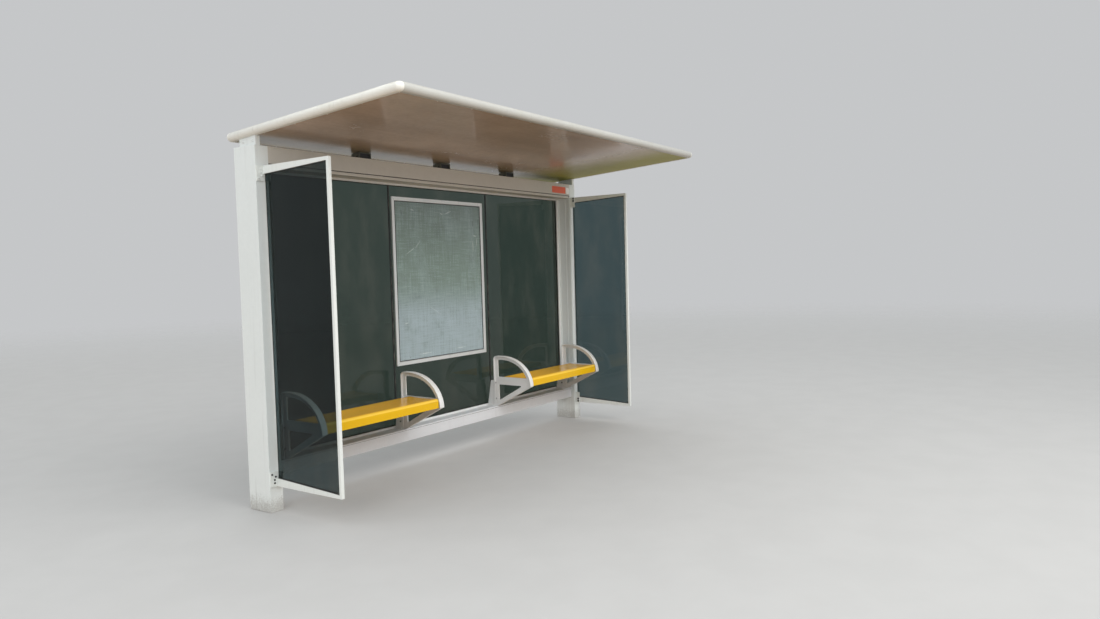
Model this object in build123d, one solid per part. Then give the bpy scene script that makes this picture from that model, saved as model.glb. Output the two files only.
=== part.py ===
from build123d import *
import math
import os

os.makedirs("parts", exist_ok=True)

# Bus shelter. The origin is the middle of the left post's foot. +X runs along the back wall to the
# right post, -Y faces the street and +Z is up. Every length is in millimetres.

# Posts
post_spacing = 3520
post_width = 96
post_depth = 210
post_height = 2289
post_wall = 6
post_recess_depth = 3
post_recess_front = 22
post_recess_rear = 24
post_recess_pad = 12

# Header beam between the post tops
header_depth = 176
header_height = 133
header_wall = 4
header_lip_height = 8
header_lip_proud = 4
header_groove_height = 6
header_groove_rise = 20
header_groove_depth = 4

# Back glazing, measured from the street faces of the posts
glass_back = 155
glass_thickness = 8
glass_joint_gap = 6
right_pane_short = 48
rail_depth = 34
rail_height = 15
channel_width = 20
seat_in_rail = 9
seal_clearance = 0.3

# Lower beam that carries the glass and the benches
beam_setback = 36
beam_depth = 140
beam_bottom = 210
beam_height = 94
beam_wall = 5

# Roof, a flat slab that rises towards the street
roof_rise_angle = 3.85
roof_gap_at_front = 58
roof_front_reach = 1262
roof_back_reach = 274
roof_end_overhang = 17
roof_edge_height = 56
roof_edge_body = 12
roof_edge_groove_width = 4
roof_edge_groove_depth = 3
roof_panel_recess = 3

# Roof supports that stand on the header beam and on the posts
support_width = 111
support_depth = 83
support_setback = 62
support_spacing = 850
support_wall = 7
plug_setback = 9
plug_thickness = 4
post_bracket_width = 32
post_bracket_inset = 10
post_bracket_depth = 160

# Side panels that stand out from the posts towards the street
panel_reach = 609
panel_inset = 12
panel_drop = 126
panel_bottom = 161
panel_frame_width = 22
panel_stile_depth = 20
panel_rail_deep = 51
panel_rail_slim = 22
panel_glass_thickness = 8
panel_glass_gap = 10
panel_glass_seat = 8
bracket_plate_inset = 4
bracket_plate_margin = 9
bracket_height = 95
bracket_thickness = 8
bracket_lug_reach = 46
bracket_lug_thickness = 6
bracket_screw_hole = 6.5
bracket_bolt_hole = 9
bracket_bolt_reach = 32
bracket_bolt_pitch = 22
bracket_screws = ((-33, 80), (-7, 63), (-15, 44), (-15, 24))

# Poster case on the middle pane
poster_width = 1071
poster_height = 1288
poster_top_gap = 84
poster_depth = 14
poster_border = 30
poster_back_thickness = 5
poster_cover_thickness = 3
poster_cover_setback = 4
poster_bevel = 4
poster_fit = 0.3

# Benches
arm_outer_offset = 134
arm_inner_offset = 559
arm_flange_width = 44
arm_flange_thickness = 6
arm_web_thickness = 10
arm_leg_setback = 67
arm_leg_depth = 42
arm_top = 738
arm_tip_reach = 326
arm_flat_length = 82
arm_corner_radius = 30
arm_inner_radius = 8
arm_band_rear = 36
arm_band_top = 33
arm_band_front = 40
arm_plate_top = 557
arm_plate_bottom = 490
arm_strut_corner = 352
arm_strut_flange_width = 26
arm_strut_flange_thickness = 5
arm_triangle_reach = 229
arm_triangle_radius = 6
seat_top = 558
seat_front_height = 67
seat_rear_height = 44
seat_front_reach = 312
seat_back_gap = 15
seat_nose_radius = 22
seat_rear_radius = 10
seat_dish = 5
seat_skin = 6
seat_rib_height = 40
seat_rib_thickness = 5
seat_rib_count = 5
seat_end_fit = 0.5
shelf_thickness = 8
shelf_margin = 20
shelf_reach = 36
pedestal_width = 52
pedestal_foot_depth = 68
pedestal_top_depth = 27
pedestal_top = 526
pedestal_wall = 5
pedestal_cheek_reach = 19
pedestal_base_margin = 7
pedestal_base_thickness = 8

# Places worked out from the sizes above
x_middle = post_spacing / 2
x_left_inner = post_width / 2
x_right_inner = post_spacing - post_width / 2
y_street = -post_depth / 2
header_bottom = post_height - header_height
glass_mid = y_street + glass_back
rail_front = glass_mid - rail_depth / 2
rail_rear = glass_mid + rail_depth / 2
rail_slot = glass_thickness + 2 * seal_clearance
beam_top = beam_bottom + beam_height
beam_front = y_street + beam_setback
lower_rail_top = beam_top + rail_height
upper_rail_bottom = header_bottom - rail_height
panel_top = post_height - panel_drop
poster_top = upper_rail_bottom - poster_top_gap
poster_bottom = poster_top - poster_height
leg_rear = y_street + arm_leg_setback
leg_front = leg_rear - arm_leg_depth
arm_tip = y_street - arm_tip_reach
seat_rest = seat_top - seat_rib_height
roof_slope = math.tan(math.radians(roof_rise_angle))
arm_places = {
    "left_bench_arm_outer": arm_outer_offset,
    "left_bench_arm_inner": x_middle - arm_inner_offset,
    "right_bench_arm_inner": x_middle + arm_inner_offset,
    "right_bench_arm_outer": post_spacing - arm_outer_offset,
}


def save(name, shape):
    """Write one named node."""
    export_step(shape, os.path.join("parts", name + ".step"))


def block(x0, x1, y0, y1, z0, z1):
    """A rectangular block between two corners."""
    centre = Pos((x0 + x1) / 2, (y0 + y1) / 2, (z0 + z1) / 2)
    return centre * Box(x1 - x0, y1 - y0, z1 - z0)


def along_x(points, x0, x1):
    """A solid whose outline lies in the YZ plane, from x0 to x1."""
    outline = make_face(Polyline(*points, close=True))
    return extrude(Plane.YZ.offset(x0) * outline, amount=x1 - x0)


def roof_underside(y):
    """Height of the roof's underside above the ground at y."""
    return post_height + roof_gap_at_front - roof_slope * (y - y_street)


def mirror_to_right(shape):
    """The same piece at the right-hand end of the shelter."""
    return mirror(shape, about=Plane.YZ.offset(x_middle))


def make_post(x):
    """A rectangular hollow post with a closed top."""
    half_width = post_width / 2
    half_depth = post_depth / 2
    outside = block(x - half_width, x + half_width, -half_depth, half_depth, 0, post_height)
    inside = block(
        x - half_width + post_wall,
        x + half_width - post_wall,
        -half_depth + post_wall,
        half_depth - post_wall,
        0,
        post_height - post_wall,
    )
    post = outside - inside
    face = x + half_width if x < x_middle else x - half_width
    recess_ends = sorted((face, face - post_recess_depth if x < x_middle else face + post_recess_depth))
    front = y_street + post_recess_front
    for rear, low, high in (
        (half_depth - post_recess_rear, 0, beam_bottom - post_recess_pad),
        (rail_front - post_recess_pad, lower_rail_top + post_recess_pad, header_bottom - post_recess_pad),
    ):
        post = post - block(recess_ends[0], recess_ends[1], front, rear, low, high)
    return post


def make_header():
    """The header beam, a hollow section with a lip along the top and a groove near the bottom."""
    rear = y_street + header_depth
    outside = block(x_left_inner, x_right_inner, y_street, rear, header_bottom, post_height)
    inside = block(
        x_left_inner,
        x_right_inner,
        y_street + header_wall + header_groove_depth,
        rear - header_wall,
        header_bottom + header_wall,
        post_height - header_wall,
    )
    lip = block(
        x_left_inner,
        x_right_inner,
        y_street - header_lip_proud,
        y_street,
        post_height - header_lip_height,
        post_height,
    )
    groove_bottom = header_bottom + header_groove_rise
    groove = block(
        x_left_inner,
        x_right_inner,
        y_street,
        y_street + header_groove_depth,
        groove_bottom,
        groove_bottom + header_groove_height,
    )
    return outside - inside + lip - groove


def make_rail(bottom, top, slot_from, slot_to):
    """A glazing rail between the posts, with a slot for the glass."""
    body = block(x_left_inner, x_right_inner, rail_front, rail_rear, bottom, top)
    slot = block(
        x_left_inner,
        x_right_inner,
        glass_mid - rail_slot / 2,
        glass_mid + rail_slot / 2,
        slot_from,
        slot_to,
    )
    return body - slot


def make_channel():
    """The upright glazing channel on the left post."""
    body = block(
        x_left_inner,
        x_left_inner + channel_width,
        rail_front,
        rail_rear,
        lower_rail_top,
        upper_rail_bottom,
    )
    slot = block(
        x_left_inner + channel_width - seat_in_rail,
        x_left_inner + channel_width,
        glass_mid - rail_slot / 2,
        glass_mid + rail_slot / 2,
        lower_rail_top,
        upper_rail_bottom,
    )
    return body - slot


def make_lower_beam():
    """The hollow beam near the ground, between the posts."""
    rear = beam_front + beam_depth
    outside = block(x_left_inner, x_right_inner, beam_front, rear, beam_bottom, beam_top)
    inside = block(
        x_left_inner,
        x_right_inner,
        beam_front + beam_wall,
        rear - beam_wall,
        beam_bottom + beam_wall,
        beam_top - beam_wall,
    )
    return outside - inside


def make_back_glass():
    """Three panes in the rails and channels, with the strips that close their joints.

    The left and middle panes are cut to one width and the right one is a little narrower.
    """
    first = x_left_inner + channel_width - seat_in_rail
    last = x_right_inner - channel_width + seat_in_rail
    pane_width = (last - first - 2 * glass_joint_gap + right_pane_short) / 3
    bottom = lower_rail_top - seat_in_rail
    top = upper_rail_bottom + seat_in_rail
    front = glass_mid - glass_thickness / 2
    rear = glass_mid + glass_thickness / 2
    panes = []
    strips = []
    for index in range(3):
        start = first + index * (pane_width + glass_joint_gap)
        end = start + pane_width if index < 2 else last
        panes.append(block(start, end, front, rear, bottom, top))
        if index < 2:
            strips.append(block(end, end + glass_joint_gap, front, rear, bottom, top))
    return panes, strips


def make_support(x, width, depth, setback, web_sides):
    """A short rectangular tube or channel that carries the roof.

    web_sides says which of its upright sides are closed: -1 the left one, +1 the right one.
    """
    front = y_street + setback
    rear = front + depth
    foot = post_height
    outline = [
        (front, foot),
        (rear, foot),
        (rear, roof_underside(rear)),
        (front, roof_underside(front)),
    ]
    left = x - width / 2
    right = x + width / 2
    body = along_x(outline, left, right)
    hollow_left = left + support_wall if -1 in web_sides else left
    hollow_right = right - support_wall if 1 in web_sides else right
    both_webs = len(web_sides) == 2
    inner_front = front if both_webs else front + support_wall
    inner_rear = rear if both_webs else rear - support_wall
    hollow = [
        (inner_front, foot + support_wall),
        (inner_rear, foot + support_wall),
        (inner_rear, roof_underside(inner_rear) - support_wall),
        (inner_front, roof_underside(inner_front) - support_wall),
    ]
    return body - along_x(hollow, hollow_left, hollow_right)


def make_plug(x):
    """The dark end plug inside the street end of a roof support."""
    front = y_street + support_setback + plug_setback
    rear = front + plug_thickness
    outline = [
        (front, post_height + support_wall),
        (rear, post_height + support_wall),
        (rear, roof_underside(rear) - support_wall),
        (front, roof_underside(front) - support_wall),
    ]
    half = support_width / 2 - support_wall
    return along_x(outline, x - half, x + half)


# The roof is drawn flat, x along the shelter and y towards the back, and is then laid on its slope.
roof_edge_depth = roof_edge_body + roof_edge_height / 2
roof_length = post_spacing + post_width + 2 * roof_end_overhang
slope_scale = 1 / math.cos(math.radians(roof_rise_angle))
roof_front = -roof_front_reach * slope_scale
roof_back = roof_back_reach * slope_scale
roof_tilt = math.radians(roof_rise_angle)
roof_plane = Plane(
    origin=(x_middle, y_street, roof_underside(y_street)),
    x_dir=(1, 0, 0),
    z_dir=(0, math.sin(roof_tilt), math.cos(roof_tilt)),
)


def edge_section():
    """The section of the roof's edge: a flat body, a half-round nose and a drip groove below."""
    radius = roof_edge_height / 2
    body = Polyline(
        (roof_edge_body, 0),
        (0, 0),
        (0, roof_edge_height),
        (roof_edge_body, roof_edge_height),
    )
    nose = ThreePointArc(
        (roof_edge_body, roof_edge_height),
        (roof_edge_body + radius, radius),
        (roof_edge_body, 0),
    )
    section = make_face([body, nose])
    groove_centre = roof_edge_body - roof_edge_groove_width / 2
    groove = Pos(groove_centre, roof_edge_groove_depth / 2) * Rectangle(
        roof_edge_groove_width, roof_edge_groove_depth
    )
    return section - groove


def make_roof():
    """The roof slab with its four edge profiles and its rounded corners."""
    half = roof_length / 2
    inner_x = half - roof_edge_depth
    inner_front = roof_front + roof_edge_depth
    inner_back = roof_back - roof_edge_depth
    panel = block(
        -inner_x,
        inner_x,
        inner_front,
        inner_back,
        roof_panel_recess,
        roof_edge_height - roof_panel_recess,
    )
    section = edge_section()
    depth = inner_back - inner_front
    edges = {
        "roof_edge_right": (inner_x, inner_front, (1, 0, 0), (0, -1, 0), -depth),
        "roof_edge_left": (-inner_x, inner_front, (-1, 0, 0), (0, 1, 0), depth),
        "roof_edge_back": (-inner_x, inner_back, (0, 1, 0), (1, 0, 0), 2 * inner_x),
        "roof_edge_front": (-inner_x, inner_front, (0, -1, 0), (-1, 0, 0), -2 * inner_x),
    }
    pieces = {"roof_panel": panel}
    for name, (x, y, outward, normal, length) in edges.items():
        plane = Plane(origin=(x, y, 0), x_dir=outward, z_dir=normal)
        pieces[name] = extrude(plane * section, amount=length)
    corners = []
    quarter = revolve(Plane.XZ * section, axis=Axis.Z, revolution_arc=90)
    for x, y, turn in (
        (inner_x, inner_back, 0),
        (-inner_x, inner_back, 90),
        (-inner_x, inner_front, 180),
        (inner_x, inner_front, 270),
    ):
        corners.append(Pos(x, y, 0) * Rot(0, 0, turn) * quarter)
    pieces["roof_corners"] = Compound(children=corners)
    return {name: roof_plane.location * piece for name, piece in pieces.items()}


def make_panel():
    """The left side panel: tapered rails, a street stile, glass and the brackets on the post."""
    mid = panel_inset
    half = panel_frame_width / 2
    rear = y_street - bracket_thickness
    front = y_street - panel_reach
    stile_rear = front + panel_stile_depth
    pieces = {}
    pieces["panel_stile"] = block(mid - half, mid + half, front, stile_rear, panel_bottom, panel_top)
    top_rail = along_x(
        [
            (rear, panel_top),
            (stile_rear, panel_top),
            (stile_rear, panel_top - panel_rail_slim),
            (rear, panel_top - panel_rail_deep),
        ],
        mid - half,
        mid + half,
    )
    bottom_rail = along_x(
        [
            (rear, panel_bottom),
            (stile_rear, panel_bottom),
            (stile_rear, panel_bottom + panel_rail_slim),
            (rear, panel_bottom + panel_rail_deep),
        ],
        mid - half,
        mid + half,
    )
    glass_half = panel_glass_thickness / 2
    glass_rear = y_street - bracket_thickness - panel_glass_gap
    run = rear - stile_rear
    fall = (panel_rail_deep - panel_rail_slim) / run
    deep_at_glass = panel_rail_deep - fall * (rear - glass_rear)
    seat = panel_glass_seat
    glass = along_x(
        [
            (glass_rear, panel_bottom + deep_at_glass - seat),
            (stile_rear, panel_bottom + panel_rail_slim - seat),
            (stile_rear, panel_top - panel_rail_slim + seat),
            (glass_rear, panel_top - deep_at_glass + seat),
        ],
        mid - glass_half,
        mid + glass_half,
    )
    pieces["panel_top_rail"] = top_rail - glass
    pieces["panel_bottom_rail"] = bottom_rail - glass
    pieces["panel_glass"] = glass
    brackets = []
    outer = -post_width / 2 + bracket_plate_inset
    lug_inner = mid + half
    lug_outer = lug_inner + bracket_lug_thickness
    for low, upright in ((panel_bottom, 1), (panel_top, -1)):
        high = low + upright * bracket_height
        ends = sorted((low, high))
        plate = block(
            outer,
            lug_outer + bracket_plate_margin,
            y_street - bracket_thickness,
            y_street,
            ends[0],
            ends[1],
        )
        lug = block(
            lug_inner,
            lug_outer,
            y_street - bracket_lug_reach,
            y_street - bracket_thickness,
            ends[0],
            ends[1],
        )
        bracket = plate + lug
        for x, rise in bracket_screws:
            place = Pos(x, y_street - bracket_thickness / 2, low + upright * rise)
            bracket = bracket - place * Rot(90, 0, 0) * Cylinder(bracket_screw_hole / 2, bracket_thickness)
        for count in (0.5, 1.5):
            rise = upright * count * bracket_bolt_pitch
            place = Pos(lug_inner + bracket_lug_thickness / 2, y_street - bracket_bolt_reach, low + rise)
            bracket = bracket - place * Rot(0, 90, 0) * Cylinder(
                bracket_bolt_hole / 2, bracket_lug_thickness
            )
        brackets.append(bracket)
    pieces["panel_brackets"] = Compound(children=brackets)
    return pieces


def make_poster():
    """The poster case: a bevelled frame, the backing and the clear cover."""
    rear = glass_mid - glass_thickness / 2
    front = rear - poster_depth
    left = x_middle - poster_width / 2
    right = x_middle + poster_width / 2
    top = poster_top
    outside = block(left, right, front, rear, poster_bottom, top)
    inside = block(
        left + poster_border,
        right - poster_border,
        front,
        rear,
        poster_bottom + poster_border,
        top - poster_border,
    )
    frame = outside - inside
    sight_edges = frame.faces().sort_by(Axis.Y)[0].inner_wires()[0].edges()
    frame = chamfer(sight_edges, poster_bevel)
    gap = poster_fit
    back = block(
        left + poster_border + gap,
        right - poster_border - gap,
        rear - poster_back_thickness,
        rear,
        poster_bottom + poster_border + gap,
        top - poster_border - gap,
    )
    cover = block(
        left + poster_border + gap,
        right - poster_border - gap,
        front + poster_cover_setback,
        front + poster_cover_setback + poster_cover_thickness,
        poster_bottom + poster_border + gap,
        top - poster_border - gap,
    )
    return frame, back, cover


def arch_wire(rear_inset, top_inset, front_inset, bend):
    """The leg, the top and the arch of a bench arm, set in from its outline, from foot to tip."""
    rear = leg_rear - rear_inset
    top = arm_top - top_inset
    arch_start = leg_rear - arm_flat_length
    leg = Line((rear, beam_top), (rear, top - bend))
    corner = bend * (1 - math.sqrt(0.5))
    shoulder = ThreePointArc((rear, top - bend), (rear - corner, top - corner), (rear - bend, top))
    flat = Line((rear - bend, top), (arch_start, top))
    arch = EllipticalCenterArc(
        (arch_start, arm_plate_bottom),
        arch_start - arm_tip - front_inset,
        arm_top - arm_plate_bottom - top_inset,
        start_angle=90,
        arc_size=90,
    )
    return [leg, shoulder, flat, arch]


def make_arm(x, seat_side):
    """A bench arm: a cast plate with an arched armrest, a seat arm and a strut, edged by flanges.

    seat_side is +1 where the seat lies on the arm's right and -1 where it lies on its left.
    """
    outer = arch_wire(0, 0, 0, arm_corner_radius)
    strut = Polyline((arm_tip, arm_plate_bottom), (beam_front, beam_top), (leg_rear, beam_top))
    outline = make_face(outer + [strut])
    band = arch_wire(arm_band_rear, arm_band_top, arm_band_front, arm_inner_radius)
    sill_rear = leg_rear - arm_band_rear
    sill = Polyline(
        (arm_tip + arm_band_front, arm_plate_bottom),
        (sill_rear, arm_plate_bottom),
        (sill_rear, beam_top),
    )
    above_plate = Pos((arm_tip + sill_rear) / 2, arm_plate_top + arm_top / 2) * Rectangle(
        sill_rear - arm_tip, arm_top
    )
    upper_opening = make_face(band + [sill]) & above_plate
    triangle = make_face(
        Polyline(
            (leg_front, arm_plate_bottom),
            (y_street - arm_triangle_reach, arm_plate_bottom),
            (leg_front, arm_strut_corner),
            close=True,
        )
    )
    triangle = fillet(triangle.vertices(), arm_triangle_radius)
    web_face = outline - upper_opening - triangle
    half_web = arm_web_thickness / 2
    web = extrude(Plane.YZ.offset(x - half_web) * web_face, amount=arm_web_thickness)
    rim = arm_flange_thickness
    rim_bend = arm_corner_radius - rim
    rim_close = Polyline(
        (arm_tip + rim, arm_plate_bottom),
        (leg_rear - rim, arm_plate_bottom),
        (leg_rear - rim, beam_top),
    )
    rim_hole = make_face(arch_wire(rim, rim, rim, rim_bend) + [rim_close])
    edge_close = Polyline((arm_tip, arm_plate_bottom), (leg_rear, arm_plate_bottom), (leg_rear, beam_top))
    rim_face = make_face(outer + [edge_close]) - rim_hole
    below = Pos((arm_tip + leg_rear) / 2 - rim, arm_plate_bottom - arm_top / 2) * Rectangle(
        leg_rear - arm_tip, arm_top
    )
    rim_face = rim_face - below
    half_rim = arm_flange_width / 2
    flange = extrude(Plane.YZ.offset(x - half_rim) * rim_face, amount=arm_flange_width)
    run = beam_front - arm_tip
    fall = arm_plate_bottom - beam_top
    length = math.hypot(run, fall)
    step_y = arm_strut_flange_thickness * fall / length
    step_z = arm_strut_flange_thickness * run / length
    strut_flange = along_x(
        [
            (arm_tip, arm_plate_bottom),
            (beam_front, beam_top),
            (beam_front + step_y, beam_top + step_z),
            (arm_tip + step_y, arm_plate_bottom + step_z),
        ],
        x - arm_strut_flange_width / 2,
        x + arm_strut_flange_width / 2,
    )
    shelf_ends = sorted((x, x + seat_side * (half_rim + shelf_reach)))
    shelf = block(
        shelf_ends[0],
        shelf_ends[1],
        y_street - seat_front_reach + shelf_margin,
        y_street - seat_back_gap - shelf_margin,
        seat_rest - shelf_thickness,
        seat_rest,
    )
    return web + flange + strut_flange + shelf


def make_pedestal(x):
    """The tapered foot behind a bench arm's leg, open at the back, with cheeks beside the leg."""
    half = pedestal_width / 2
    foot = leg_rear + pedestal_foot_depth
    head = leg_rear + pedestal_top_depth
    base = block(
        x - half - pedestal_base_margin,
        x + half + pedestal_base_margin,
        leg_rear,
        foot,
        beam_top,
        beam_top + pedestal_base_thickness,
    )
    outline = [(leg_rear, beam_top), (foot, beam_top), (head, pedestal_top), (leg_rear, pedestal_top)]
    body = along_x(outline, x - half, x + half)
    hollow = block(
        x - half + pedestal_wall,
        x + half - pedestal_wall,
        leg_rear + pedestal_wall,
        foot,
        beam_top + pedestal_base_thickness,
        pedestal_top - pedestal_wall,
    )
    pedestal = body - hollow + base
    half_rim = arm_flange_width / 2
    for ends in ((x - half, x - half_rim), (x + half_rim, x + half)):
        pedestal = pedestal + block(
            ends[0], ends[1], leg_rear - pedestal_cheek_reach, leg_rear, beam_top, pedestal_top
        )
    return pedestal


def make_seat(x0, x1):
    """A moulded bench seat between two arms: a dished top with skirts, and ribs across below."""
    front = y_street - seat_front_reach
    rear = y_street - seat_back_gap

    def section(skin):
        """The outline of the seat set in by the skin, closed along the bottom."""
        nose = seat_nose_radius
        heel = seat_rear_radius
        top = seat_top - skin
        nose_turn = (nose - skin) * math.sqrt(0.5)
        heel_turn = (heel - skin) * math.sqrt(0.5)
        return make_face(
            [
                Line((front + skin, seat_top - seat_front_height), (front + skin, seat_top - nose)),
                ThreePointArc(
                    (front + skin, seat_top - nose),
                    (front + nose - nose_turn, seat_top - nose + nose_turn),
                    (front + nose, top),
                ),
                ThreePointArc(
                    (front + nose, top), ((front + rear) / 2, top - seat_dish), (rear - heel, top)
                ),
                ThreePointArc(
                    (rear - heel, top),
                    (rear - heel + heel_turn, seat_top - heel + heel_turn),
                    (rear - skin, seat_top - heel),
                ),
                Polyline(
                    (rear - skin, seat_top - heel),
                    (rear - skin, seat_top - seat_rear_height),
                    (rear - skin, seat_top - seat_front_height),
                    (front + skin, seat_top - seat_front_height),
                ),
            ]
        )

    outline = section(0)
    middle = (front + rear) / 2
    under_heel = Pos(rear, seat_top - seat_rear_height - seat_top / 2) * Rectangle(
        2 * seat_skin, seat_top
    )
    skin_face = outline - section(seat_skin) - under_heel
    above_rest = Pos(middle, seat_rest + seat_top / 2) * Rectangle(rear - front, seat_top)
    rib_face = outline & above_rest
    seat = extrude(Plane.YZ.offset(x0) * skin_face, amount=x1 - x0)
    pitch = (x1 - x0 - seat_rib_thickness) / (seat_rib_count - 1)
    for index in range(seat_rib_count):
        start = x0 + index * pitch
        seat = seat + extrude(Plane.YZ.offset(start) * rib_face, amount=seat_rib_thickness)
    return seat


def build_posts():
    for side, x in (("left", 0), ("right", post_spacing)):
        save(side + "_post", make_post(x))
    bracket = make_support(
        -post_width / 2 + post_bracket_inset + post_bracket_width / 2,
        post_bracket_width,
        post_bracket_depth,
        0,
        (-1,),
    )
    save("left_roof_bracket", bracket)
    save("right_roof_bracket", mirror_to_right(bracket))


def build_header():
    save("header_beam", make_header())
    save(
        "header_glazing_rail",
        make_rail(upper_rail_bottom, header_bottom, upper_rail_bottom, upper_rail_bottom + seat_in_rail),
    )
    plugs = []
    for index, side in enumerate(("left", "middle", "right")):
        x = x_middle + (index - 1) * support_spacing
        save("roof_support_" + side, make_support(x, support_width, support_depth, support_setback, (-1, 1)))
        plugs.append(make_plug(x))
    save("roof_support_plugs", Compound(children=plugs))


def build_back_wall():
    save("lower_beam", make_lower_beam())
    save(
        "lower_glazing_rail",
        make_rail(beam_top, lower_rail_top, lower_rail_top - seat_in_rail, lower_rail_top),
    )
    channel = make_channel()
    save("left_glazing_channel", channel)
    save("right_glazing_channel", mirror_to_right(channel))
    panes, strips = make_back_glass()
    for side, pane in zip(("left", "middle", "right"), panes):
        save("back_glass_" + side, pane)
    save("glass_joint_strips", Compound(children=strips))
    frame, back, cover = make_poster()
    save("poster_frame", frame)
    save("poster_back", back)
    save("poster_cover", cover)


def build_side_panels():
    for name, piece in make_panel().items():
        save("left_" + name, piece)
        save("right_" + name, mirror_to_right(piece))


def build_benches():
    for name, x in arm_places.items():
        seat_side = 1 if name in ("left_bench_arm_outer", "right_bench_arm_inner") else -1
        save(name, make_arm(x, seat_side))
        save(name.replace("arm", "pedestal"), make_pedestal(x))
    edge = arm_flange_width / 2 + seat_end_fit
    for side in ("left", "right"):
        ends = sorted(arm_places[side + "_bench_arm_" + place] for place in ("outer", "inner"))
        save(side + "_bench_seat", make_seat(ends[0] + edge, ends[1] - edge))


def build_roof():
    for name, piece in make_roof().items():
        save(name, piece)


build_posts()
build_header()
build_back_wall()
build_side_panels()
build_benches()
build_roof()
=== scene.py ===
"""Bus shelter: paint, glass, seals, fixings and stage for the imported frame."""

import math

import bmesh
import bpy
from mathutils import Matrix, Vector


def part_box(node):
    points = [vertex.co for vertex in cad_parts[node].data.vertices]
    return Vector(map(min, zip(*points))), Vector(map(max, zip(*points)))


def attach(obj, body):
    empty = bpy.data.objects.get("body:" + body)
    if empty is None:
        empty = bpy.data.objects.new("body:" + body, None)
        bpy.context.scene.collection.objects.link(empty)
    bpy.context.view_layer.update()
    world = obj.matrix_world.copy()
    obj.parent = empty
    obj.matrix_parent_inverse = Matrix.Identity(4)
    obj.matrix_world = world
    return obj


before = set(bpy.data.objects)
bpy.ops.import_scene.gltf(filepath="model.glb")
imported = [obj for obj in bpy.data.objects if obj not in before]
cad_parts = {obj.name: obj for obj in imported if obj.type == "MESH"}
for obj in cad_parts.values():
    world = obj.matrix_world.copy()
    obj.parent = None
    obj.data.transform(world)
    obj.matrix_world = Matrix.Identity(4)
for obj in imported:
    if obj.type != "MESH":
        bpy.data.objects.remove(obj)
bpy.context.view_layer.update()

bl_info = {
    "name": "Bus shelter",
    "version": (1, 0, 0),
    "blender": (4, 5, 0),
    "location": "View3D > Sidebar > Shelter",
    "description": "Paint, glass, seals, fixings and stage for the bus shelter",
    "category": "Object",
}

X = Vector((1, 0, 0))
Y = Vector((0, 1, 0))
Z = Vector((0, 0, 1))
CORNERS = ((-1, -1), (-1, 1), (1, -1), (1, 1))
SUPPORTS = ("roof_support_left", "roof_support_middle", "roof_support_right")
END_SCREW = 0.0105
ROOF_BOLT = 0.010
PLATE_RIVET = 0.0045
FOOT_RIVET = 0.0052
WEB_SCREW = 0.009
SHARP_ANGLE = 35
SAME_POINT = 0.00001
FLOOR_MIDDLE = (1.76, -0.4, 0)
PALE = (0.8, 0.8, 0.8, 1)
SHADED = (0.6, 0.6, 0.6, 1)

# Marks on the poster's backing: place as shares of the sheet, half sizes in metres, turn, how broken
RUBBED_MARKS = (
    (0.19, 0.950, 0.030, 0.010, -0.2, 0.9), (0.60, 0.945, 0.055, 0.005, 0.35, 0.7),
    (0.52, 0.935, 0.022, 0.006, -0.5, 0.8), (0.905, 0.725, 0.005, 0.062, 0.05, 0.7),
    (0.955, 0.755, 0.004, 0.045, -0.05, 0.7), (0.93, 0.795, 0.026, 0.006, -0.15, 0.6),
    (0.09, 0.235, 0.026, 0.006, 0.15, 0.7), (0.16, 0.690, 0.080, 0.004, 0.5, 1.0),
    (0.24, 0.730, 0.060, 0.003, 0.8, 1.0), (0.42, 0.300, 0.110, 0.003, -0.5, 1.0),
    (0.30, 0.030, 0.130, 0.008, 0.0, 1.1), (0.71, 0.035, 0.110, 0.008, 0.0, 1.1),
)
DARK_MARKS = (
    (0.075, 0.930, 0.0035, 0.034, 0.04, 0.5), (0.905, 0.880, 0.0035, 0.034, 0.04, 0.5),
    (0.975, 0.890, 0.0035, 0.030, 0.04, 0.5), (0.12, 0.018, 0.0035, 0.008, 0.04, 0.5),
)


def colour_setting(name, description, shade):
    """A colour that the user can change."""
    return bpy.props.FloatVectorProperty(
        name=name, description=description, default=shade, size=3, min=0, max=1, subtype="COLOR"
    )


def length_setting(name, description, metres):
    """A length that the user can change."""
    return bpy.props.FloatProperty(
        name=name, description=description, default=metres, min=0.0001, max=1, unit="LENGTH", precision=4
    )


def number_setting(name, description, value, most=1, **kind):
    """A share, strength or power that the user can change."""
    return bpy.props.FloatProperty(name=name, description=description, default=value, min=0, max=most, **kind)


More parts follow.
